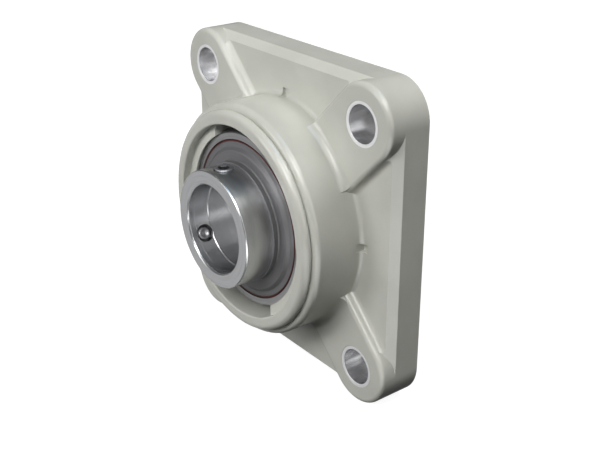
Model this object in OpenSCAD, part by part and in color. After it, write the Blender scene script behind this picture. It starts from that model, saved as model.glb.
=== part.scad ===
// Square flanged bearing unit for a 30 mm shaft.
// A moulded composite housing with four bushed bolt holes carries an insert ball bearing
// in a spherical seat. Origin: on the shaft axis, in the plane of the mounting face.
// +Z is up, the mounting face looks along +Y and the shaft leaves the front along -Y.
// Every piece is drawn with X across, Y up and Z as the height in front of the mounting face,
// and stand_up() then turns it into place.

/* [Flange] */
// Thickness of the flange between the petals
flange_t = 12; // [10:0.5:14]
// Width and height of the bevel round the flange's front edge
flange_bevel = 2.5; // [1:0.25:3.5]
// Distance between neighbouring bolt holes
hole_pitch = 83; // [80:0.5:86]
// Radius of the flange's corners and of the petals round the bolt holes
boss_r = 12.75; // [11.5:0.25:14]
// Height of the petals above the flange
petal_rise = 3.2; // [2.4:0.2:5]
// Rounding along the top edges of the petals
petal_edge_r = 1.7; // [0.8:0.1:2.2]
// Hollow rounding where the petals stand on the flange
petal_foot_r = 1.9; // [0.9:0.1:2.2]
// Hollow rounding where the dome stands on the petals
petal_root_r = 2.6; // [1:0.1:3.5]

/* [Bolt bushings] */
// Bore of a steel bushing
bush_bore_d = 12; // [10.5:0.5:12.5]
// Wall of a steel bushing
bush_wall = 1.1; // [0.8:0.1:1.6]
// Chamfer at both mouths of a bushing
bush_chamfer = 0.2; // [0.1:0.1:0.6]

/* [Dome] */
// Width of the shoulder by which the dome stands out round the rim
shoulder_w = 2; // [1:0.1:3]
// Wall of the rim round the mouth
rim_wall = 4.7; // [4:0.1:6]
// Gap between the mouth and the largest diameter of the bearing
mouth_gap = 1.8; // [1:0.1:2.6]
// Hollow rounding where the dome stands on the flange
dome_foot_r = 1.4; // [0.8:0.1:1.8]
// Height of the rim above the dome's shoulder
rim_h = 2.9; // [2.4:0.1:4]
// Rounding of the rim's outer edge
rim_edge_r = 2.2; // [1:0.1:2.6]
// Depth of the groove for an end cover
cover_groove_d = 0.5; // [0.2:0.1:1]
// Width of the groove for an end cover
cover_groove_w = 0.6; // [0.3:0.1:0.9]
// Depth of the mouth
mouth_depth = 2.9; // [2:0.1:4]
// Chamfer at the edge of the mouth
mouth_chamfer = 0.35; // [0.1:0.05:0.8]
// Width of the two loading slots
slot_w = 30; // [24:1:34]
// Width of the notches in the dome's foot
notch_w = 2.6; // [1.6:0.2:4]
// Length of the notches, outwards from the dome
notch_l = 2.6; // [1.6:0.2:4]
// Depth of the notches below the flange's front
notch_depth = 1; // [0.4:0.1:2]

/* [Insert bearing] */
// Height of the bearing's centre in front of the mounting face
seat_h = 19.9; // [19.5:0.1:20.5]
// Bore for the shaft
bore_d = 30; // [28:0.5:31]
// Width of the inner ring
inner_w = 38.1; // [36:0.1:40]
// Reach of the inner ring in front of the bearing's centre
inner_reach = 22.2; // [21.4:0.1:23]
// Diameter of the outer ring's spherical outside
outer_d = 62; // [61:0.1:62.6]
// Width of the outer ring
outer_w = 18; // [17.4:0.1:19]
// How far the seat reaches past the outer ring's faces
seat_over = 1.1; // [0.6:0.1:2]
// Depth of the raceways in both rings
race_depth = 1.66; // [1.2:0.02:1.9]
// Step from the inside of the outer ring to the seat of a seal
seal_step = 1.15; // [0.8:0.05:1.5]
// Depth of the seal's seat from the ring's face
seal_seat_depth = 2.4; // [2:0.1:2.7]
// Wall of both rings at the bottom of their raceways
ring_wall = 3.1875; // [3:0.0125:3.5]
// Chamfer at the front mouth of the bore
bore_chamfer = 0.5; // [0.3:0.1:1.4]
// Chamfer at the outer edges of the rings
ring_chamfer = 0.3; // [0.2:0.1:0.9]
// Depth of the relief band in the bore at the grub screws
relief_depth = 0.2; // [0.1:0.05:0.4]
// Width of the relief band
relief_w = 5.2; // [4:0.1:7]

/* [Grub screws] */
// Thread diameter of a grub screw
screw_d = 6; // [5:0.5:6.5]
// Length of a grub screw
screw_l = 5; // [4.6:0.1:6]
// Distance of the screws from the inner ring's front face
screw_inset = 5.4; // [4.6:0.1:6]
// Diameter of the screw's cup point
screw_point_d = 3.8; // [3:0.1:4.4]
// Gap left between the screw's point and the shaft
screw_point_gap = 0.4; // [0.2:0.1:1]
// Size of the hexagon socket across its flats
socket_af = 3; // [2:0.5:3]
// Depth of the hexagon socket
socket_depth = 2; // [1:0.25:2.5]

/* [Flingers and seals] */
// Thickness of the flinger's sheet
flinger_t = 0.5; // [0.4:0.05:0.6]
// Width of the flinger's flat rim
flinger_rim_w = 2; // [1.4:0.1:2.6]
// Width of the rubber bonded round the flinger's rim
flinger_edge_w = 0.35; // [0.2:0.05:0.6]
// Height of the flinger's step
flinger_rise = 1.1; // [0.6:0.1:1.4]
// Height of the flinger's collar above its raised disc
collar_h = 2; // [1.2:0.1:2.4]
// Thickness of the seal's steel case
case_t = 0.5; // [0.3:0.05:0.6]
// Thickness of the seal's rubber behind the case
rubber_t = 0.5; // [0.3:0.05:0.7]

/* [Fits] */
// Running clearance of the outer ring in its seat
seat_clear = 0.05; // [0.03:0.01:0.1]
// Clearance between a ball and each raceway
ball_clear = 0.05; // [0.03:0.01:0.1]
// Clearance between a ball and its pocket in the cage
pocket_clear = 0.15; // [0.1:0.05:0.25]
// Clearance of a grub screw in its hole
screw_clear = 0.05; // [0.03:0.01:0.1]
// Clearance of the seal's lip on the inner ring
lip_clear = 0.08; // [0.05:0.01:0.15]
// Gap between the flinger's rubber edge and the outer ring
flinger_gap = 0.4; // [0.35:0.05:0.8]
// Gap between the flinger and the seal behind it
seal_gap = 0.4; // [0.3:0.05:0.6]

/* [Hidden] */
$fn = 96;
cut = 1;

composite = [0.82, 0.82, 0.78];
steel = [0.72, 0.73, 0.75];
dark_steel = [0.42, 0.43, 0.45];
rubber = [0.32, 0.07, 0.06];
polyamide = [0.2, 0.2, 0.22];

corner_angles = [45, 135, 225, 315];
flange_side = hole_pitch + 2 * boss_r;
petal_h = flange_t + petal_rise;
arm_l = hole_pitch / sqrt(2);
bush_r = bush_bore_d / 2 + bush_wall;

mouth_r = outer_d / 2 + mouth_gap;
rim_r = mouth_r + rim_wall;
dome_r = rim_r + shoulder_w;
floor_h = seat_h + outer_w / 2 + seat_over;
face_h = floor_h + mouth_depth;
shoulder_h = face_h - rim_h;
seat_r = outer_d / 2 + seat_clear;
back_r = sqrt(pow(seat_r, 2) - pow(floor_h - seat_h, 2));
notch_bite = 0.2;

ball_n = 9;
inner_race_bottom = bore_d / 2 + ring_wall;
outer_race_bottom = outer_d / 2 - ring_wall;
pitch_d = inner_race_bottom + outer_race_bottom;
ball_d = outer_race_bottom - inner_race_bottom - 2 * ball_clear;
race_fit = 0.52;
race_r = race_fit * ball_d;
first_ball_angle = 90;
inner_r = inner_race_bottom + race_depth;
inner_rear = inner_reach - inner_w;
land_r = outer_race_bottom - race_depth;
seal_seat_r = land_r + seal_step;

screw_r = screw_d / 2;
screw_u = inner_reach - screw_inset;
screw_angles = [90, 210];
screw_tip_r = bore_d / 2 + screw_point_gap;
cup_w = 0.5;
cup_depth = 0.7;

collar_bend_r = 0.8;
flinger_r = seal_seat_r - flinger_gap - flinger_edge_w;
bead_w = 0.9;
bead_l = seal_seat_depth - flinger_t - seal_gap;
bead_in = seal_seat_r - bead_w;
bead_u = outer_w / 2 - seal_seat_depth;
case_sink = 0.1;
web_u = bead_u + bead_l - case_sink - case_t - rubber_t;
lip_w = 0.9;

cage_w = 0.44 * ball_d;
cage_front_u = 0.25 * ball_d;
cage_gap = 0.8;
cage_rear_u = cage_gap - web_u;
cage_slot_u = -0.3 * ball_d;
cage_prong_t = 1.5;

// Turns a piece drawn flat on the mounting face so that its height runs along -Y
module stand_up() {
    rotate([90, 0, 0]) children();
}

// The same for a piece drawn round the bearing's centre
module at_bearing() {
    stand_up() translate([0, 0, seat_h]) children();
}

// Square with one rounded corner, for the section of a solid whose far edge is rounded
module rounded_end(w, h, r) {
    square([w - r, h]);
    square([w, h - r]);
    translate([w - r, h - r]) circle(r);
}

// Hollow corner that fills the angle between a wall at x = 0 and a floor at y = 0,
// rooted a little way into both
module hollow_corner(r, root = cut) {
    difference() {
        translate([-root, -root]) square([r + root, r + root]);
        translate([r, r]) circle(r);
    }
}

// One bar of the cross-shaped plate: bevelled ends, as far as top_h, along X
module bevelled_bar(top_h) {
    half = flange_side / 2;
    edge_h = flange_t - flange_bevel;
    run = top_h - edge_h;
    rotate([90, 0, 0]) linear_extrude(hole_pitch, center = true)
        polygon([
            [-half, 0], [half, 0], [half, edge_h], [half - run, top_h],
            [run - half, top_h], [-half, edge_h]
        ]);
}

// The flange's plate, or the space above it that ends on its bevels
module bevelled_plate(top_h) {
    for (a = [0, 90]) rotate([0, 0, a]) bevelled_bar(top_h);
}

// Section of a petal's arm, across the diagonal
module arm_section(half_w) {
    for (side = [0, 1]) mirror([side, 0]) rounded_end(half_w, petal_h, petal_edge_r);
}

// Carries a section outwards along the diagonal, from the shaft axis to beyond the bolt hole
module along_diagonal(beyond) {
    rotate([90, 0, 90]) linear_extrude(arm_l + beyond) children();
}

// Petal: the boss round a bolt hole and the arm that joins it to the dome
module petal() {
    along_diagonal(0) arm_section(boss_r);
    translate([arm_l, 0, 0]) rotate_extrude() rounded_end(boss_r, petal_h, petal_edge_r);
}

// Hollow roundings along a petal's foot, which run out on the bevel
module petal_foot() {
    along_diagonal(petal_foot_r) for (side = [0, 1]) mirror([side, 0])
        translate([boss_r, flange_t]) hollow_corner(petal_foot_r);
}

// Section of the dome and its rim, solid to the axis
module dome_section() {
    rounded_end(dome_r, shoulder_h, shoulder_w);
    difference() {
        rounded_end(rim_r, face_h, rim_edge_r);
        translate([rim_r - cover_groove_d, shoulder_h])
            square([cover_groove_d + cut, cover_groove_w]);
    }
    translate([dome_r, flange_t]) hollow_corner(dome_foot_r);
}

// Hollow rounding between the dome and the top of one petal
module petal_root() {
    intersection() {
        rotate_extrude() translate([dome_r, petal_h]) hollow_corner(petal_root_r);
        along_diagonal(0) translate([petal_edge_r / 2 - boss_r, 0])
            square([2 * boss_r - petal_edge_r, face_h]);
    }
}

// Section of everything that is bored out of the housing along the shaft axis
module seat_section() {
    intersection() {
        translate([0, seat_h]) circle(seat_r, $fn = 2 * $fn);
        translate([0, seat_h - (floor_h - seat_h)]) square([seat_r, 2 * (floor_h - seat_h)]);
    }
    translate([0, -cut]) square([back_r, seat_h]);
    translate([0, floor_h]) square([mouth_r, mouth_depth + cut]);
    translate([0, face_h - mouth_chamfer]) polygon([
        [0, 0], [mouth_r, 0], [mouth_r + mouth_chamfer + cut, mouth_chamfer + cut],
        [0, mouth_chamfer + cut]
    ]);
}

// Slots at the top and bottom of the mouth, through which the bearing goes in on edge
module loading_slots() {
    intersection() {
        translate([0, 0, seat_h]) cylinder(r = mouth_r, h = floor_h - seat_h + cut);
        translate([-slot_w / 2, -mouth_r - cut, seat_h])
            cube([slot_w, 2 * (mouth_r + cut), floor_h - seat_h + cut]);
    }
}

// Notches in the dome's foot, midway between the petals
module foot_notches() {
    for (a = [0:90:270]) rotate([0, 0, a])
        translate([dome_r - notch_bite, -notch_w / 2, flange_t - notch_depth])
            cube([notch_l + notch_bite, notch_w, notch_depth + dome_foot_r + cut]);
}

module housing() {
    color(composite) stand_up() difference() {
        union() {
            bevelled_plate(flange_t);
            for (a = corner_angles) rotate([0, 0, a]) {
                petal();
                petal_root();
            }
            intersection() {
                for (a = corner_angles) rotate([0, 0, a]) petal_foot();
                bevelled_plate(flange_t + petal_foot_r + cut);
            }
            rotate_extrude() dome_section();
        }
        rotate_extrude() seat_section();
        loading_slots();
        foot_notches();
        for (a = corner_angles) rotate([0, 0, a])
            translate([arm_l, 0, -cut]) cylinder(r = bush_r, h = petal_h + 2 * cut);
    }
}

// Bushing in the bolt hole at angle a, flush with both faces
module bolt_bushing(a) {
    bore_r = bush_bore_d / 2;
    c = bush_chamfer;
    color(steel) stand_up() rotate([0, 0, a]) translate([arm_l, 0, 0]) rotate_extrude()
        polygon([
            [bore_r + c, 0], [bush_r, 0], [bush_r, petal_h], [bore_r + c, petal_h],
            [bore_r, petal_h - c], [bore_r, c]
        ]);
}

// Outer ring: a slice of a sphere, with a raceway and a seat for a seal at each side
module outer_ring() {
    half = outer_w / 2;
    face_r = sqrt(pow(outer_d / 2, 2) - pow(half, 2));
    c = ring_chamfer;
    color(steel) at_bearing() rotate_extrude() difference() {
        intersection() {
            circle(outer_d / 2, $fn = 2 * $fn);
            translate([0, -half]) square([outer_d / 2, outer_w]);
        }
        translate([0, -outer_w]) square([land_r, 2 * outer_w]);
        for (side = [0, 1]) mirror([0, side]) {
            translate([0, half - seal_seat_depth])
                square([seal_seat_r, seal_seat_depth + cut]);
            polygon([[face_r - c, half], [face_r + c, half], [face_r + c, half - 2 * c]]);
        }
        translate([outer_race_bottom - race_r, 0]) circle(race_r);
    }
}

// Section of the inner ring, from the bore outwards
module inner_ring_section() {
    r = bore_d / 2;
    c = ring_chamfer;
    difference() {
        polygon([
            [r, inner_rear + bore_chamfer], [r + bore_chamfer, inner_rear],
            [inner_r - c, inner_rear], [inner_r, inner_rear + c],
            [inner_r, inner_reach - c], [inner_r - c, inner_reach],
            [r + bore_chamfer, inner_reach], [r, inner_reach - bore_chamfer]
        ]);
        translate([inner_race_bottom + race_r, 0]) circle(race_r);
        translate([r, screw_u - relief_w / 2]) polygon([
            [-cut, -cut - relief_depth], [0, -relief_depth], [relief_depth, 0],
            [relief_depth, relief_w], [0, relief_w + relief_depth],
            [-cut, relief_w + relief_depth + cut]
        ]);
    }
}

// Places a screw or its hole on the ring, pointing outwards
module at_screw(a) {
    rotate([0, 0, a]) translate([0, 0, screw_u]) rotate([0, 90, 0]) children();
}

module inner_ring() {
    hole_r = screw_r + screw_clear;
    color(steel) at_bearing() difference() {
        rotate_extrude() inner_ring_section();
        for (a = screw_angles) at_screw(a) {
            cylinder(r = hole_r, h = inner_r + cut);
            translate([0, 0, inner_r - ring_chamfer])
                cylinder(r1 = hole_r, r2 = hole_r + 2 * ring_chamfer, h = 2 * ring_chamfer, $fn = 64);
        }
    }
}

// Grub screw with a hexagon socket outside and a cup point towards the shaft
module grub_screw(a) {
    c = ring_chamfer;
    socket_r = socket_af / sqrt(3);
    point_r = screw_point_d / 2;
    color(dark_steel) at_bearing() at_screw(a) translate([0, 0, screw_tip_r]) difference() {
        rotate_extrude() polygon([
            [0, cup_depth], [point_r - cup_w, 0], [point_r, 0], [screw_r, screw_r - point_r],
            [screw_r, screw_l - c], [screw_r - c, screw_l], [0, screw_l]
        ]);
        translate([0, 0, screw_l - socket_depth])
            cylinder(r = socket_r, h = socket_depth + cut, $fn = 6);
    }
}

// Draws a revolved section at the bearing's front, or mirrored at its rear
module at_side(rear) {
    at_bearing() mirror([0, 0, rear ? 1 : 0]) rotate_extrude() children();
}

// Flinger: a collar pressed on the inner ring, a raised disc, a conical step and a flat rim
// level with the outer ring's face
module flinger(rear) {
    t = flinger_t;
    rim_u = outer_w / 2;
    disc_u = rim_u + flinger_rise;
    step_r = flinger_r - flinger_rim_w;
    color(dark_steel) at_side(rear) {
        polygon([
            [inner_r, disc_u - t], [step_r - flinger_rise, disc_u - t],
            [step_r, rim_u - t], [flinger_r, rim_u - t], [flinger_r, rim_u],
            [step_r + t / 2, rim_u], [step_r - flinger_rise + t / 2, disc_u],
            [inner_r, disc_u]
        ]);
        translate([inner_r, disc_u - t]) square([t, t + collar_h]);
        translate([inner_r + t, disc_u]) hollow_corner(collar_bend_r, t / 2);
    }
}

// Rubber ring bonded on the edge of a flinger's rim
module flinger_edge(rear) {
    color(rubber) at_side(rear)
        translate([flinger_r, outer_w / 2 - flinger_t]) square([flinger_edge_w, flinger_t]);
}

// Steel case that stiffens a seal
module seal_case(rear) {
    case_in = inner_r + lip_clear + lip_w;
    color(steel) at_side(rear)
        translate([case_in, web_u + rubber_t]) square([bead_in - case_in, case_t]);
}

// Rubber of a seal: a bead seated in the outer ring, a web behind the case and a lip
// that runs on the inner ring
module seal_lip(rear) {
    lip_in = inner_r + lip_clear;
    color(rubber) at_side(rear) {
        translate([bead_in, bead_u]) square([bead_w, bead_l]);
        translate([lip_in, web_u]) square([bead_in + bead_w / 2 - lip_in, rubber_t]);
        translate([lip_in, web_u + rubber_t]) polygon([
            [0, -rubber_t / 2], [lip_w, -rubber_t / 2], [lip_w, case_t], [0, case_t + lip_w / 2]
        ]);
    }
}

// Clip-in cage: a ring behind the balls, with a spherical pocket for each ball
// and a slot between the prongs of neighbouring pockets
module ball_cage() {
    pocket_r = ball_d / 2 + pocket_clear;
    step = 360 / ball_n;
    slot = pitch_d * sin(step / 2) - 2 * pocket_r - 2 * cage_prong_t;
    color(polyamide) at_bearing() difference() {
        rotate_extrude() translate([(pitch_d - cage_w) / 2, cage_rear_u])
            square([cage_w, cage_front_u - cage_rear_u]);
        for (i = [0:ball_n - 1]) rotate([0, 0, first_ball_angle + i * step]) {
            translate([pitch_d / 2, 0, 0]) sphere(pocket_r);
            rotate([0, 0, step / 2])
                translate([pitch_d / 2 - cage_w, -slot / 2, cage_slot_u])
                    cube([2 * cage_w, slot, cage_front_u - cage_slot_u + cut]);
        }
    }
}

module ball(i) {
    color(steel) at_bearing()
        rotate([0, 0, first_ball_angle + (i - 1) * 360 / ball_n])
            translate([pitch_d / 2, 0, 0]) sphere(ball_d / 2);
}

housing();
bolt_bushing(corner_angles[0]);  // bolt_bushing_1
bolt_bushing(corner_angles[1]);  // bolt_bushing_2
bolt_bushing(corner_angles[2]);  // bolt_bushing_3
bolt_bushing(corner_angles[3]);  // bolt_bushing_4
outer_ring();
seal_case(false);  // front_seal_case
seal_lip(false);  // front_seal_lip
seal_case(true);  // rear_seal_case
seal_lip(true);  // rear_seal_lip
inner_ring();
flinger(false);  // front_flinger
flinger(true);  // rear_flinger
flinger_edge(false);  // front_flinger_edge
flinger_edge(true);  // rear_flinger_edge
ball_cage();
ball(1);  // ball_1
ball(2);  // ball_2
ball(3);  // ball_3
ball(4);  // ball_4
ball(5);  // ball_5
ball(6);  // ball_6
ball(7);  // ball_7
ball(8);  // ball_8
ball(9);  // ball_9
grub_screw(screw_angles[0]);  // grub_screw_1
grub_screw(screw_angles[1]);  // grub_screw_2
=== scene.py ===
"""Looks of a square flange bearing unit, dressed round its packed solids.

Lengths in this file's shape functions are in millimetres. r is the distance from the shaft axis,
and u is the height in front of the bearing's centre, towards the camera's side.
"""

import math

import bpy
import numpy as np
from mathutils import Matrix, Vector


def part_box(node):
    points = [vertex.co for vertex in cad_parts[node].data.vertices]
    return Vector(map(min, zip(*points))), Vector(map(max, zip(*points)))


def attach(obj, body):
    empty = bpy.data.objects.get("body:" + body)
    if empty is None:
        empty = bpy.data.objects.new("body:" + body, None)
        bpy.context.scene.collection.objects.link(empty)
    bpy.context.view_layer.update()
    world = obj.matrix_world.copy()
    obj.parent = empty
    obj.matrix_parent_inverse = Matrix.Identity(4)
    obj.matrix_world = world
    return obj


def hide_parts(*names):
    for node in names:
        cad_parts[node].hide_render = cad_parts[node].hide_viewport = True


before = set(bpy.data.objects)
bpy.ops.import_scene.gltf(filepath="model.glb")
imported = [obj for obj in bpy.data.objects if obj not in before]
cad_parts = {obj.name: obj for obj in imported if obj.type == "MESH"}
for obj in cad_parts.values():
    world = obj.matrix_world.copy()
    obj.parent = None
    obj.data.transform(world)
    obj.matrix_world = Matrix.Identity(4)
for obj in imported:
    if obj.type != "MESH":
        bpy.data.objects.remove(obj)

bl_info = {
    "name": "Flange bearing unit",
    "version": (1, 0, 0),
    "blender": (4, 5, 0),
    "location": "3D View > Sidebar > Bearing",
    "description": "Dresses the solids of a square flange bearing unit",
    "category": "Object",
}

MM = 0.001
SEAT_H = 19.9
BOLT_PITCH = 83.0
PETAL_H = 15.2
BORE_R = 15.0
RING_R = 19.8475
RING_REACH = 22.2
SEAL_SEAT_R = 27.3025
RING_HALF_W = 9.0
COLLAR_FOOT_R = 0.2
SCREW_SETBACK = 5.4
SCREW_REST = 0.4
BALLS = 9
PHOTO_ANGLES = (53.084, 23.541, -0.328)
PHOTO_AIM = (0, -10, 0)
PHOTO_DISTANCE = 339.775
PHOTO_LENS = 59.59
PHOTO_SHIFT = (0.01524, -0.03233)
LAMP_AIM = (0, -0.015, 0)
NEARLY_UP = (0, 0.01, 1)
FLOOR_HALF = 6.0
FLOOR_DROP = 0.0002
FLOOR_GLOW = 0.93
FLOOR_COLOUR = (0.22, 0.22, 0.22, 1)


class Field:
    """A shader socket that can stand in a sum. An operator on it adds the Math node."""

    def __init__(self, graph, socket):
        self.graph = graph
        self.socket = socket

    def math(self, operation, *others, clamp=False, swap=False):
        values = (*others, self) if swap else (self, *others)
        settings = {"operation": operation, "use_clamp": clamp}
        return self.graph.node("Math", settings, dict(enumerate(values)))

    def __add__(self, other):
        return self.math("ADD", other)

    def __sub__(self, other):
        return self.math("SUBTRACT", other)

    def __rsub__(self, other):
        return self.math("SUBTRACT", other, swap=True)

    def __mul__(self, other):
        return self.math("MULTIPLY", other)

    def __truediv__(self, other):
        return self.math("DIVIDE", other)

    def __abs__(self):
        return self.math("ABSOLUTE")

    __radd__ = __add__
    __rmul__ = __mul__

    def above(self, low, high):
        """0 below low, 1 above high, and a smooth step between them."""
        settings = {"interpolation_type": "SMOOTHSTEP"}
        values = {"Value": self, "From Min": low, "From Max": high}
        return self.graph.node("MapRange", settings, values)


class Graph:
    """A node tree under construction."""

    def __init__(self, tree):
        self.tree = tree
        tree.nodes.clear()

    def node(self, kind, settings, values, output=0):
        """Adds a node: its settings first, then the numbers or links of its sockets."""
        node = self.tree.nodes.new("ShaderNode" + kind)
        for key, value in settings.items():
            setattr(node, key, value)
        for key, value in values.items():
            if isinstance(value, Field):
                self.tree.links.new(value.socket, node.inputs[key])
            else:
                node.inputs[key].default_value = value
        return Field(self, node.outputs[output]) if node.outputs else None

    def fields(self, kind, values, *outputs):
        """Adds a node and returns several of its outputs."""
        sockets = self.node(kind, {}, values).socket.node.outputs
        return [Field(self, sockets[name]) for name in outputs]

    def seen_rays(self):
        """1 for camera, glossy and transmission rays, and 0 for those that carry light."""
        camera, glossy, through = self.fields(
            "LightPath", {}, "Is Camera Ray", "Is Glossy Ray", "Is Transmission Ray")
        return camera.math("MAXIMUM", glossy).math("MAXIMUM", through)


class Finish(Graph):
    """A material under construction: one Principled shader, and the fields that vary it."""

    def __init__(self, name, **uniform):
        self.material = bpy.data.materials.new(name)
        self.material.use_nodes = True
        super().__init__(self.material.node_tree)
        values = {key.replace("_", " "): value for key, value in uniform.items()}
        self.shader = self.node("BsdfPrincipled", {}, values)

    def vary(self, **fields):
        """Links fields to the shader's sockets."""
        inputs = self.shader.socket.node.inputs
        for key, field in fields.items():
            self.tree.links.new(field.socket, inputs[key.replace("_", " ")])

    def done(self, surface=None):
        """Puts the shader, or another surface, on the output and returns the material."""
        self.node("OutputMaterial", {}, {"Surface": surface or self.shader})
        return self.material

    def place(self):
        """Object coordinates, which are the part's own, in metres."""
        return self.node("TexCoord", {}, {}, output="Object")

    def axes(self, place):
        return self.fields("SeparateXYZ", {"Vector": place}, "X", "Y", "Z")

    def vector(self, x, y, z):
        return self.node("CombineXYZ", {}, {"X": x, "Y": y, "Z": z})

    def noise(self, vector, scale, detail):
        return self.node("TexNoise", {}, {"Vector": vector, "Scale": scale, "Detail": detail})

    def blend(self, factor, one, other):
        """Colour that goes from one to the other as factor goes from 0 to 1."""
        settings = {"data_type": "RGBA"}
        return self.node("Mix", settings, {0: factor, 6: one, 7: other}, output=2)

    def soft_edges(self, radius_mm):
        """Normal of the surface as if its edges were rounded by radius_mm."""
        return self.node("Bevel", {"samples": 6}, {"Radius": radius_mm * MM})

    def bump(self, height, distance_mm, normal=None):
        """Normal of a surface raised by distance_mm where height is 1."""
        values = {"Height": height, "Distance": distance_mm * MM}
        if normal is not None:
            values["Normal"] = normal
        return self.node("Bump", {}, values)


def rounded(corners, radii, steps=7):
    """Closed profile from a polygon: each corner becomes an arc of its radius, tangent to both
    sides. The arc's centre lies on the corner's bisector at radius / sin(half the angle)."""
    corners = np.asarray(corners, float)
    points = []
    for i, radius in enumerate(radii):
        corner = corners[i]
        back = corners[i - 1] - corner
        ahead = corners[(i + 1) % len(corners)] - corner
        back /= np.linalg.norm(back)
        ahead /= np.linalg.norm(ahead)
        if radius == 0:
            points.append(corner[None])
            continue
        half = math.acos(np.clip(back @ ahead, -1, 1)) / 2
        bisector = (back + ahead) / np.linalg.norm(back + ahead)
        centre = corner + bisector * radius / math.sin(half)
        first = corner + back * radius / math.tan(half)
        last = corner + ahead * radius / math.tan(half)
        share = np.linspace(0, 1, steps)[:, None]
        sweep = math.pi - 2 * half
        arc = (np.sin((1 - share) * sweep) * (first - centre)
               + np.sin(share * sweep) * (last - centre)) / math.sin(sweep)
        lead = 0.06 * radius
        points += [first[None] + back * lead, centre + arc, last[None] + ahead * lead]
    return np.vstack(points)


def grid_faces(rows, columns, close_rows, close_columns):
    """Quads between neighbours of a grid of points, row by row."""
    i = np.arange(rows if close_rows else rows - 1)[:, None]
    j = np.arange(columns if close_columns else columns - 1)[None, :]
    i2, j2 = (i + 1) % rows, (j + 1) % columns
    quads = np.stack([i * columns + j, i2 * columns + j, i2 * columns + j2, i * columns + j2], -1)
    return quads.reshape(-1, 4)


def outward(points, faces):
    """The faces, turned round if the volume that they enclose comes out negative."""
    a, b, c = points[faces[:, 0]], points[faces[:, 1]], points[faces[:, 2]]
    volume = np.einsum("ij,ij->", a, np.cross(b, c))
    if faces.shape[1] == 4:
        volume += np.einsum("ij,ij->", a, np.cross(c, points[faces[:, 3]]))
    return faces if volume > 0 else faces[:, ::-1]


def add_mesh(name, points, faces, *finishes):
    mesh = bpy.data.meshes.new(name)
    mesh.from_pydata(points, [], faces)
    for finish in finishes:
        mesh.materials.append(finish)
    thing = bpy.data.objects.new(name, mesh)
    bpy.context.scene.collection.objects.link(thing)
    return thing


def add_piece(name, points, faces, finish, body, slot, *nodes, second=None, from_face=0):
    """Makes a piece from points in metres, parents it to the empty of the body that carries it, and
    hides the solids that it stands for.
    A second finish covers the faces from number from_face on."""
    finishes = (finish,) if second is None else (finish, second)
    piece = add_mesh(name, points, faces.tolist(), *finishes)
    mesh = piece.data
    mesh.update()
    mesh.shade_smooth()
    if second is not None:
        index = (np.arange(len(faces)) >= from_face).astype(np.int32)
        mesh.polygons.foreach_set("material_index", index)
    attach(piece, body)
    if nodes:
        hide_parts(*nodes)
    return piece


def revolve(profile, centre=(0.0, 0.0), turns=192):
    """Ring. A profile point (r, h), turned by the angle t about an axis along Y through centre,
    lies at (r cos t, -h, r sin t). Returns points in metres and outward faces."""
    t = np.linspace(0, 2 * math.pi, turns, endpoint=False)
    r, h = profile[:, :1], profile[:, 1:]
    x = centre[0] + r * np.cos(t)
    z = centre[1] + r * np.sin(t)
    points = np.stack([x, np.broadcast_to(-h, x.shape), z], -1).reshape(-1, 3) * MM
    return points, outward(points, grid_faces(len(profile), turns, True, True))


def dress(node, finish):
    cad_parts[node].data.materials.clear()
    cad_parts[node].data.materials.append(finish)


def values_of(name):
    return getattr(bpy.context.scene, name)


class HousingLook(bpy.types.PropertyGroup):
    """Moulded composite of the housing."""

    colour: bpy.props.FloatVectorProperty(
        name="Colour", description="Base colour of the moulding, linear", subtype="COLOR",
        size=4, min=0, max=1, default=(0.560, 0.565, 0.512, 1))
    roughness: bpy.props.FloatProperty(
        name="Roughness", description="Mean roughness of the satin skin", subtype="FACTOR",
        default=0.22, min=0, max=1)
    grain: bpy.props.FloatProperty(
        name="Grain", description="Height of the mould's fine grain in millimetres",
        default=0.002, min=0, max=0.05)
    edge: bpy.props.FloatProperty(
        name="Edge rounding", description="Rounding of the sharp edges in millimetres",
        default=0.3, min=0, max=1)


class SteelLook(bpy.types.PropertyGroup):
    """Steel of the bearing and the bushings."""

    ring: bpy.props.FloatVectorProperty(
        name="Rings", description="Colour of the ground rings, linear", subtype="COLOR",
        size=4, min=0, max=1, default=(0.60, 0.605, 0.615, 1))
    outer: bpy.props.FloatVectorProperty(
        name="Outer ring", description="Colour of the outer ring, linear", subtype="COLOR",
        size=4, min=0, max=1, default=(0.36, 0.36, 0.365, 1))
    flinger: bpy.props.FloatVectorProperty(
        name="Flingers", description="Colour of the pressed flingers, linear", subtype="COLOR",
        size=4, min=0, max=1, default=(0.15, 0.15, 0.155, 1))
    bushing: bpy.props.FloatVectorProperty(
        name="Bushings", description="Colour of the bolt bushings, linear", subtype="COLOR",
        size=4, min=0, max=1, default=(0.84, 0.84, 0.85, 1))
    marks: bpy.props.FloatProperty(
        name="Marks", description="Depth of the turning marks in millimetres",
        default=0.0025, min=0, max=0.02)


class FlingerShape(bpy.types.PropertyGroup):
    """Pressed sheet in front of a seal, in millimetres."""

    sheet: bpy.props.FloatProperty(
        name="Sheet", description="Thickness of the sheet", default=0.5, min=0.3, max=0.8)
    gap: bpy.props.FloatProperty(
        name="Gap", description="Gap between its rubber edge and the outer ring", default=0.4,
        min=0.3, max=1)
    edge: bpy.props.FloatProperty(
        name="Rubber edge", description="Width of the rubber bonded round the rim", default=0.35,
        min=0.2, max=0.6)
    rim: bpy.props.FloatProperty(
        name="Rim", description="Width of its flat rim", default=2.0, min=1, max=3)
    rise: bpy.props.FloatProperty(
        name="Rise", description="Height of its conical step", default=1.1, min=0.5, max=1.5)
    collar: bpy.props.FloatProperty(
        name="Collar", description="Height of its collar", default=2.0, min=1, max=3)
    bend: bpy.props.FloatProperty(
        name="Bend", description="Inner radius of its bends", default=0.45, min=0.1, max=1)


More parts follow.
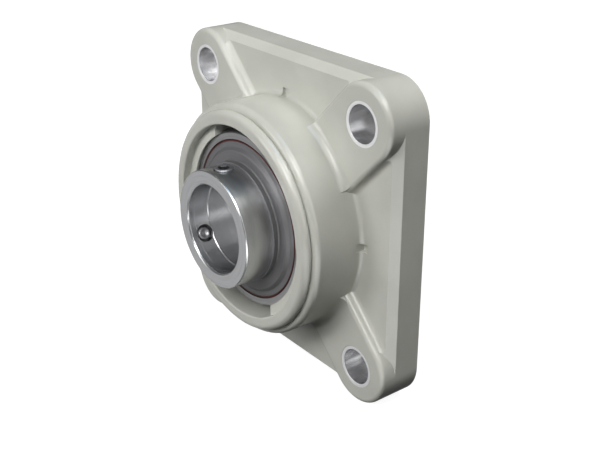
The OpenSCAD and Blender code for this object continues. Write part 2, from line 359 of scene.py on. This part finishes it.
class ScrewShape(bpy.types.PropertyGroup):
    """Grub screw, in millimetres."""

    diameter: bpy.props.FloatProperty(
        name="Diameter", description="Diameter over the thread", default=6.0, min=4, max=8)
    length: bpy.props.FloatProperty(
        name="Length", description="Length from the point to the socket's face", default=5.0,
        min=4, max=8)
    pitch: bpy.props.FloatProperty(
        name="Pitch", description="Pitch of the thread", default=1.0, min=0.5, max=1.5)
    socket: bpy.props.FloatProperty(
        name="Socket", description="Size of the hexagon across its flats", default=3.0,
        min=2, max=4)


class StageLook(bpy.types.PropertyGroup):
    """Lamps and floor."""

    key: bpy.props.FloatProperty(
        name="Key", description="Power of the key lamp", subtype="POWER", default=4.8, min=0)
    fill: bpy.props.FloatProperty(
        name="Fill", description="Power of the fill lamp", subtype="POWER", default=3.2, min=0)
    top: bpy.props.FloatProperty(
        name="Top", description="Power of the top lamp", subtype="POWER", default=5.0, min=0)
    side: bpy.props.FloatProperty(
        name="Side", description="Power of the side lamp", subtype="POWER", default=1.7, min=0)
    back: bpy.props.FloatProperty(
        name="Back", description="Power of the lamp behind the unit", subtype="POWER",
        default=5.0, min=0)
    sky: bpy.props.FloatProperty(
        name="Sky", description="Strength of the world's light", default=0.008, min=0, max=2)


def moulded_composite():
    """Satin glass-filled polyester: faint mottling, fine flecks of fibre, a fine mould grain. The
    mounting face, at depth 0, is matt."""
    look = values_of("housing_look")
    finish = Finish("moulded_composite", Specular_IOR_Level=0.5)
    place = finish.place()
    mottle = finish.noise(place, 55, detail=3)
    fleck = finish.noise(place, 2600, detail=2)
    grain = finish.noise(place, 4200, detail=1)
    swell = finish.noise(place, 260, detail=2)
    base = look.colour
    darker = [c * 0.955 for c in base[:3]] + [1]
    lighter = [min(c * 1.03, 1) for c in base[:3]] + [1]
    body = finish.blend(mottle.above(0.35, 0.68), darker, lighter)
    flecked = finish.blend(fleck.above(0.62, 0.78) * 0.22, body, [c * 0.80 for c in base[:3]] + [1])
    height = grain * 0.7 + swell * 1.6
    depth = finish.axes(place)[1]
    matt = depth.above(-0.4 * MM, -0.1 * MM) * 0.4
    finish.vary(
        Base_Color=flecked,
        Roughness=(mottle - 0.5) * 0.10 + (fleck - 0.5) * 0.10 + matt + look.roughness,
        Normal=finish.bump(height, look.grain, finish.soft_edges(look.edge)))
    return finish.done()


def turned_steel(name, colour, roughness, centre=0.0, marks=1.0, edge=0.12, tone=0.10,
                 metallic=1.0, matt_front=None):
    """Steel turned or ground about an axis along Y. Grooves run round the axis, so their noise
    reads only the radius and the depth, with a slow change round the ring. With a centre, the
    four axes at plus and minus centre are folded on each other. In front of the height matt_front
    the steel is dull, as a cut end is."""
    look = values_of("steel_look")
    finish = Finish(name, Metallic=metallic)
    x, y, z = finish.axes(finish.place())
    if centre:
        x, z = abs(x) - centre * MM, abs(z) - centre * MM
    radius = (x * x + z * z).math("SQRT")
    slow = x * 30 + z * 25
    fine = finish.noise(finish.vector(radius * 9000, y * 9000, slow), 1.0, detail=3)
    broad = finish.noise(finish.vector(radius * 1500, y * 1500, slow * 2), 1.0, detail=2)
    smudge = finish.noise(finish.place(), 160, detail=3)
    low = [c * (1 - tone) for c in colour[:3]] + [1]
    high = [min(1, c * (1 + tone)) for c in colour[:3]] + [1]
    gloss = (smudge - 0.5) * 0.06 + roughness
    if matt_front is not None:
        end = 1 - y.above(-matt_front * MM, -(matt_front - 0.05) * MM)
        finish.vary(Metallic=1 - end * 0.75)
        gloss = gloss + end * 0.25
    finish.vary(
        Base_Color=finish.blend(broad.above(0.3, 0.7), low, high),
        Roughness=gloss,
        Normal=finish.bump(fine, look.marks * marks, finish.soft_edges(edge)))
    return finish.done()


def plain_finish(name, colour, roughness, metallic=0.0, speckle=900, depth_mm=0.004):
    """Even finish with a faint speckle in colour, gloss and height."""
    finish = Finish(name, Metallic=metallic)
    speck = finish.noise(finish.place(), speckle, detail=3)
    low = [c * 0.86 for c in colour] + [1]
    high = [min(1, c * 1.12) for c in colour] + [1]
    finish.vary(
        Base_Color=finish.blend(speck.above(0.35, 0.65), low, high),
        Roughness=(speck - 0.5) * 0.2 + roughness,
        Normal=finish.bump(speck, depth_mm))
    return finish.done()


class BEARING_OT_housing(bpy.types.Operator):
    """Give the moulded housing its finish"""

    bl_idname = "bearing.housing"
    bl_label = "Finish housing"

    def execute(self, context):
        dress("housing", moulded_composite())
        return {"FINISHED"}


class BEARING_OT_bushings(bpy.types.Operator):
    """Make the steel bushings of the bolt holes, with rounded mouths"""

    bl_idname = "bearing.bushings"
    bl_label = "Make bushings"

    def execute(self, context):
        look = values_of("steel_look")
        finish = turned_steel("bushing_steel", look.bushing, 0.20, centre=BOLT_PITCH / 2,
                              marks=0.1, tone=0.03, matt_front=PETAL_H - 0.2)
        bore, wall, sink, mouth, lip = 6.0, 7.09, 0.03, 0.16, 0.06
        corners = [(bore, sink), (wall, sink), (wall, PETAL_H - sink), (bore, PETAL_H - sink)]
        profile = rounded(corners, [mouth, lip, lip, mouth])
        half = BOLT_PITCH / 2
        for number, (side, up) in enumerate([(1, 1), (-1, 1), (-1, -1), (1, -1)], 1):
            points, faces = revolve(profile, (side * half, up * half), turns=128)
            add_piece(f"rounded_bushing_{number}", points, faces, finish, "housing",
                      "bushing_steel", f"bolt_bushing_{number}")
        return {"FINISHED"}


class BEARING_OT_rings(bpy.types.Operator):
    """Give the inner and outer ring their ground finish"""

    bl_idname = "bearing.rings"
    bl_label = "Finish rings"

    def execute(self, context):
        look = values_of("steel_look")
        dress("outer_ring", turned_steel("outer_ring_steel", look.outer, 0.30, marks=0.5, edge=0.08))
        dress("inner_ring", turned_steel("inner_ring_steel", look.ring, 0.24, marks=4.0,
                                         edge=0.22, tone=0.04))
        return {"FINISHED"}


def flinger_profile():
    """Closed section of the flinger, (r, u) in millimetres, with its bends rounded."""
    shape = values_of("flinger_shape")
    t = shape.sheet
    front = RING_HALF_W
    disc = front + shape.rise
    edge = SEAL_SEAT_R - shape.gap - shape.edge
    foot = edge - shape.rim
    top = foot - shape.rise
    half = t / 2
    wide = shape.bend + t
    corners = [
        (RING_R, disc - t), (top, disc - t), (foot, front - t), (edge, front - t),
        (edge, front), (foot + half, front), (top + half, disc), (RING_R + t, disc),
        (RING_R + t, disc + shape.collar), (RING_R, disc + shape.collar),
    ]
    trim, end = half * 0.8, half * 0.3
    radii = [COLLAR_FOOT_R, shape.bend, wide, trim, trim, shape.bend, wide, shape.bend, trim, end]
    return rounded(corners, radii)


class BEARING_OT_flingers(bpy.types.Operator):
    """Make the pressed flingers in front of and behind the seals"""

    bl_idname = "bearing.flingers"
    bl_label = "Make flingers"

    def execute(self, context):
        look = values_of("steel_look")
        finish = turned_steel("flinger_steel", look.flinger, 0.50, marks=0.4, tone=0.04,
                              metallic=0.4)
        # The rubber round the flinger's rim is a darker copy of the seals' red rubber: partly its
        # own dark red-brown, partly painted shade of the gap by the outer ring.
        rubber = plain_finish("flinger_rubber", (0.06, 0.009, 0.007), 0.55, speckle=1500)
        shape = values_of("flinger_shape")
        outer = SEAL_SEAT_R - shape.gap
        inner = outer - shape.edge
        front = RING_HALF_W
        back = front - shape.sheet
        corners = [(inner, back), (outer, back), (outer, front), (inner, front)]
        bead = rounded(corners, [0.04, 0.14, 0.14, 0.04])
        rings = (("pressed_flinger", "flinger", flinger_profile(), finish, "flinger_steel"),
                 ("rubber_edge", "flinger_edge", bead, rubber, "seal_rubber"))
        for name, side in (("front", 1), ("rear", -1)):
            for piece, node, profile, look_of, slot in rings:
                section = profile * (1, side) + (0, SEAT_H)
                points, faces = revolve(section, turns=256)
                add_piece(f"{name}_{piece}", points, faces, look_of, "shaft_ring", slot,
                          f"{name}_{node}")
        return {"FINISHED"}


def screw_surface():
    """Grub screw along +Z from its point at 0, as one grid of rows over the angle a.

    Thread: r = crest - depth * w(z / pitch - a / 2 pi), where w is a triangle wave rounded at
    its crest and root, and the depth fades out at both ends. Socket: r = apothem / cos(a folded
    into one sixth of a turn), which is a hexagon. Cup: a cone into the point."""
    shape = values_of("screw_shape")
    columns = 120
    a = np.linspace(0, 2 * math.pi, columns, endpoint=False)
    crest = shape.diameter / 2
    root = crest - 0.6 * shape.pitch
    fold = (a + math.pi / 6) % (math.pi / 3) - math.pi / 6
    hexagon = shape.socket / 2 / np.cos(fold)
    length, ring = shape.length, np.ones(columns)

    def thread_row(z):
        phase = (z / shape.pitch - a / (2 * math.pi)) % 1
        wave = np.clip(np.abs(2 * phase - 1) * 1.25 - 0.125, 0, 1)
        started = np.clip((z - 1.0) / 0.5, 0, 1)
        running = np.clip((length - 0.35 - z) / 0.4, 0, 1)
        level = 1 - (1 - wave * started) * running
        return root + (crest - 0.08 - root) * level

    # Rows are pairs of radius and height. First the cup, and the flat ring round it.
    rows = [
        (0.02 * ring, 0.75), (0.7 * ring, 0.45), (1.35 * ring, 0.06), (1.42 * ring, 0.01),
        (1.52 * ring, 0.0), (1.82 * ring, 0.0), (1.9 * ring, 0.03),
    ]
    # The cone from the point up to the thread's root, and the thread.
    tip = 1.93
    rows += [((tip + (root - tip) * s) * ring, 0.06 + 0.6 * s) for s in (0.1, 0.5, 0.9)]
    steps = int(round((length - 1.0) / shape.pitch * 20))
    rows += [(thread_row(z), z) for z in np.linspace(0.8, length - 0.3, steps)]
    # The chamfer and the flat face at the end with the socket.
    rows += [((crest - 0.09) * ring, length - 0.26), ((crest - 0.11) * ring, length - 0.2),
             ((crest - 0.28) * ring, length - 0.03), ((crest - 0.33) * ring, length),
             (1.92 * ring, length), (1.86 * ring, length - 0.02)]
    # The socket, down to its drilled bottom.
    socket = [
        (np.minimum(hexagon + 0.10, 1.84), length - 0.06), (hexagon + 0.01, length - 0.2),
        (hexagon, length - 0.3), (hexagon, length - 1.9), (hexagon * 0.97, length - 1.98),
        (hexagon * 0.6, length - 2.15), (0.02 * ring, length - 2.4),
    ]
    rows += socket
    radius = np.array([r for r, _ in rows])
    height = np.array([z for _, z in rows])[:, None] * ring
    body = np.stack([radius * np.cos(a), radius * np.sin(a), height], -1).reshape(-1, 3)
    points = np.vstack([body, [[0, 0, 0.76], [0, 0, length - 2.41]]])
    quads = grid_faces(len(rows), columns, False, True)
    j = np.arange(columns)
    ahead = (j + 1) % columns
    start = (len(rows) - 1) * columns
    point_cap = np.stack([ahead, j, j * 0 + len(body)], -1)
    socket_cap = np.stack([start + j, start + ahead, j * 0 + len(body) + 1], -1)
    halves = np.stack([quads[:, [0, 1, 2]], quads[:, [0, 2, 3]]], 1).reshape(-1, 3)
    triangles = np.vstack([point_cap, halves, socket_cap])
    socket_start = len(triangles) - columns - 2 * columns * len(socket)
    return points, triangles, socket_start


class BEARING_OT_grub_screws(bpy.types.Operator):
    """Make the two threaded grub screws with hexagon sockets and cup points"""

    bl_idname = "bearing.grub_screws"
    bl_label = "Make grub screws"

    def execute(self, context):
        finish = plain_finish("screw_steel", (0.34, 0.34, 0.35), 0.42, metallic=1.0,
                              speckle=2200, depth_mm=0.003)
        # The socket's walls and bottom get a darker copy of the screw's steel: painted shade in the
        # recess.
        socket = plain_finish("screw_socket", (0.10, 0.10, 0.10), 0.45, metallic=1.0,
                              speckle=2200, depth_mm=0.003)
        local, triangles, socket_start = screw_surface()
        height = SEAT_H + RING_REACH - SCREW_SETBACK
        for number, degrees in ((1, 90), (2, 210)):
            angle = math.radians(degrees)
            out = np.array([math.cos(angle), 0, math.sin(angle)])
            across = np.array([0, 1, 0])
            third = np.cross(out, across)
            foot = out * (BORE_R + SCREW_REST) - across * height
            points = (foot + local[:, :1] * across + local[:, 1:2] * third
                      + local[:, 2:] * out) * MM
            add_piece(f"threaded_screw_{number}", points, outward(points, triangles), finish,
                      f"grub_screw_{number}", "screw_steel", f"grub_screw_{number}",
                      second=socket, from_face=socket_start)
        return {"FINISHED"}


class BEARING_OT_inside(bpy.types.Operator):
    """Give the seals, the cage and the balls their finishes"""

    bl_idname = "bearing.inside"
    bl_label = "Finish inside"

    def execute(self, context):
        look = values_of("steel_look")
        rubber = plain_finish("seal_rubber", (0.22, 0.022, 0.014), 0.55, speckle=1500)
        case = turned_steel("case_steel", look.ring, 0.35, marks=0.6)
        for side in ("front", "rear"):
            dress(f"{side}_seal_lip", rubber)
            dress(f"{side}_seal_case", case)
        dress("ball_cage", plain_finish("cage_polymer", (0.030, 0.030, 0.033), 0.48))
        balls = plain_finish("ball_steel", (0.62, 0.63, 0.65), 0.10, metallic=1.0,
                             speckle=700, depth_mm=0.0005)
        for number in range(1, BALLS + 1):
            dress(f"ball_{number}", balls)
        return {"FINISHED"}


def stand(thing, right, up, back, place):
    """Links an object and stands it at place, with its own axes along right, up and back."""
    bpy.context.scene.collection.objects.link(thing)
    matrix = np.eye(4)
    matrix[:3] = np.stack([right, up, back, place], -1)
    thing.matrix_world = matrix.T.tolist()


def camera_at_photo():
    """Camera of the photograph, by its azimuth, elevation, roll and distance from its aim."""
    azimuth, elevation, roll = (math.radians(v) for v in PHOTO_ANGLES)
    back = np.array([math.sin(azimuth) * math.cos(elevation),
                     -math.cos(azimuth) * math.cos(elevation), math.sin(elevation)])
    level = np.array([math.cos(azimuth), math.sin(azimuth), 0])
    upright = np.cross(back, level)
    right = math.cos(roll) * level + math.sin(roll) * upright
    up = math.cos(roll) * upright - math.sin(roll) * level
    data = bpy.data.cameras.new("photo_camera")
    data.sensor_width = 36
    data.lens = PHOTO_LENS
    data.shift_x, data.shift_y = PHOTO_SHIFT
    data.clip_start, data.clip_end = 0.01, 20
    camera = bpy.data.objects.new("photo_camera", data)
    stand(camera, right, up, back, (PHOTO_AIM + back * PHOTO_DISTANCE) * MM)
    bpy.context.scene.camera = camera


# Lamps: name of the property with the power, size, place, and whether reflections show it.
LAMPS = (
    ("key", 0.40, (0.262, -0.72, 0.643), True),
    ("fill", 0.40, (-0.330, -0.908, 0.259), True),
    ("top", 0.40, (0.366, 0.211, 0.906), False),
    ("back", 0.40, (0, 1, 0.02), False),
    ("side", 0.30, (0.542, -0.542, 0.643), True),
)


def add_lamp(name, power, size, place, mirrored):
    """Soft square lamp at place, turned to the middle of the unit. All in metres."""
    data = bpy.data.lights.new(name, "AREA")
    data.energy, data.size = power, size
    back = np.array(place, float) - LAMP_AIM
    back /= np.linalg.norm(back)
    right = np.cross([0, 0, 1], back)
    right /= np.linalg.norm(right)
    lamp = bpy.data.objects.new(name, data)
    lamp.visible_glossy = mirrored
    stand(lamp, right, np.cross(back, right), back, place)


# Studio cards that only reflections show: name, centre, width, height, colour, point it faces.
CARDS = (
    ("left_card", (-1.6, 0, 1.5), 3.6, 4.6, 0.16, (0, 0, 1.5)),
    ("right_card", (1.6, 0, 1.5), 3.6, 4.6, 0.16, (0, 0, 1.5)),
    ("front_card", (0, -1.6, 1.5), 3.6, 4.6, 0.16, (0, 0, 1.5)),
    ("rear_card", (0, 1.6, 1.5), 3.6, 4.6, 0.26, (0, 0, 1.5)),
    ("roof_card", (0, 0, 2.2), 3.6, 3.6, 0.20, (0, 0, 0)),
    ("floor_left_card", (-1.0, 0, -0.0543), 2.0, 3.6, 0.50, (-1.0, 0, 1)),
    ("floor_front_card", (1.0, -1.0, -0.0543), 2.0, 2.0, 0.12, (1.0, -1.0, 1)),
    ("floor_rear_card", (1.0, 1.0, -0.0543), 2.0, 2.0, 0.12, (1.0, 1.0, 1)),
    ("right_strip", (1.10, -0.20, 0.40), 0.45, 0.9, 3.0, (0, 0, 0)),
    ("mid_strip", (0.42, -0.64, 0.80), 0.35, 0.5, 4.0, (0, 0, 0)),
    ("top_strip", (0.47, 0.02, 0.88), 0.60, 0.30, 8.0, (0, 0, 0)),
    ("blue_strip", (0.10, 0.02, 0.99), 0.30, 0.34, (2.6, 4.4, 6.6), (0, 0, 0)),
    ("bevel_card", (0.14, -0.12, -0.0542), 0.16, 0.20, 3.0, (0.14, -0.12, 1)),
    ("window_card", (-0.030, 0.02, 0.032), 0.036, 0.036, 2.4, (-0.030, 0, 0.032)),
    ("rear_strip_1", (0.020, 0.03, 0.0025), 0.028, 0.111, 0.95, (0.020, 0, 0.0025)),
    ("rear_strip_2", (-0.062, 0.03, 0.037), 0.028, 0.046, 0.95, (-0.062, 0, 0.037)),
)


def add_card(name, centre, width, height, colour, aim):
    """Flat card that faces the point aim. Only reflections show it. Its width is level, or runs
    along X where the card lies flat."""
    centre = np.array(centre, float)
    back = (centre - aim) / np.linalg.norm(centre - aim)
    right = np.cross(NEARLY_UP, back)
    right /= np.linalg.norm(right)
    up = np.cross(back, right)
    signs = np.array([(-1, -1), (1, -1), (1, 1), (-1, 1)])
    corners = centre + signs[:, :1] * right * width / 2 + signs[:, 1:] * up * height / 2
    glow = (*np.broadcast_to(colour, 3), 1)
    finish = Finish(name, Base_Color=(0, 0, 0, 1), Emission_Color=glow, Emission_Strength=1.0)
    card = add_mesh(name, corners, [(0, 1, 2, 3)], finish.done())
    card.visible_camera = card.visible_diffuse = card.visible_shadow = False
    card.visible_transmission = card.visible_volume_scatter = False


def white_world(strength):
    """World that lights the object softly and looks white to the camera, glass and metal."""
    world = bpy.data.worlds.new("studio")
    world.use_nodes = True
    graph = Graph(world.node_tree)
    light = graph.node("Background", {}, {"Strength": strength})
    seen = graph.node("Background", {}, {"Strength": 1.0, "Color": (1, 1, 1, 1)})
    shown = graph.node("MixShader", {}, {0: graph.seen_rays(), 1: light, 2: seen})
    graph.node("OutputWorld", {}, {"Surface": shown})
    bpy.context.scene.world = world


def add_floor():
    """Pale floor under the flange. The camera sees it white except where the object shades it."""
    finish = Finish("pale_floor", Base_Color=FLOOR_COLOUR)
    grain = finish.noise(finish.place(), 30, detail=2)
    finish.vary(Roughness=(grain - 0.5) * 0.05 + 0.9)
    glow = finish.node("Emission", {}, {"Strength": FLOOR_GLOW})
    dark = finish.node("Emission", {}, {"Strength": 0.0})
    lit = finish.node("AddShader", {}, {0: glow, 1: finish.shader})
    shown = finish.node("MixShader", {}, {0: finish.seen_rays(), 1: dark, 2: lit})
    half, level = FLOOR_HALF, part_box("housing")[0].z - FLOOR_DROP
    corners = np.array([(-half, -half, level), (half, -half, level), (half, half, level),
                        (-half, half, level)])
    add_mesh("floor", corners, [(0, 1, 2, 3)], finish.done(shown))


class BEARING_OT_stage(bpy.types.Operator):
    """Set up the floor, the lamps and the photograph's camera"""

    bl_idname = "bearing.stage"
    bl_label = "Set stage"

    def execute(self, context):
        look = values_of("stage_look")
        camera_at_photo()
        white_world(look.sky)
        add_floor()
        for name, size, place, mirrored in LAMPS:
            add_lamp(f"{name}_lamp", getattr(look, name), size, place, mirrored)
        for card in CARDS:
            add_card(*card)
        context.scene.view_settings.view_transform = "Standard"
        return {"FINISHED"}


OPERATORS = (
    BEARING_OT_stage, BEARING_OT_housing, BEARING_OT_bushings, BEARING_OT_rings,
    BEARING_OT_flingers, BEARING_OT_grub_screws, BEARING_OT_inside,
)
GROUPS = {
    "housing_look": HousingLook, "steel_look": SteelLook, "flinger_shape": FlingerShape,
    "screw_shape": ScrewShape, "stage_look": StageLook,
}


class BEARING_PT_panel(bpy.types.Panel):
    """Sizes, colours and steps of the bearing unit"""

    bl_idname = "BEARING_PT_panel"
    bl_label = "Flange bearing unit"
    bl_space_type = "VIEW_3D"
    bl_region_type = "UI"
    bl_category = "Bearing"

    def draw(self, context):
        for name, group in GROUPS.items():
            box = self.layout.box()
            box.label(text=group.__doc__)
            for key in group.__annotations__:
                box.prop(getattr(context.scene, name), key)
        for operator in OPERATORS:
            self.layout.operator(operator.bl_idname)


def register():
    for group in GROUPS.values():
        bpy.utils.register_class(group)
    for name, group in GROUPS.items():
        setattr(bpy.types.Scene, name, bpy.props.PointerProperty(type=group))
    for cls in (*OPERATORS, BEARING_PT_panel):
        bpy.utils.register_class(cls)


def unregister():
    for cls in (BEARING_PT_panel, *reversed(OPERATORS)):
        bpy.utils.unregister_class(cls)
    for name in GROUPS:
        delattr(bpy.types.Scene, name)
    for group in reversed(GROUPS.values()):
        bpy.utils.unregister_class(group)


def main():
    register()
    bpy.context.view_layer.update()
    for operator in OPERATORS:
        group, name = operator.bl_idname.split(".")
        getattr(getattr(bpy.ops, group), name)()


if __name__ == "__main__":
    main()
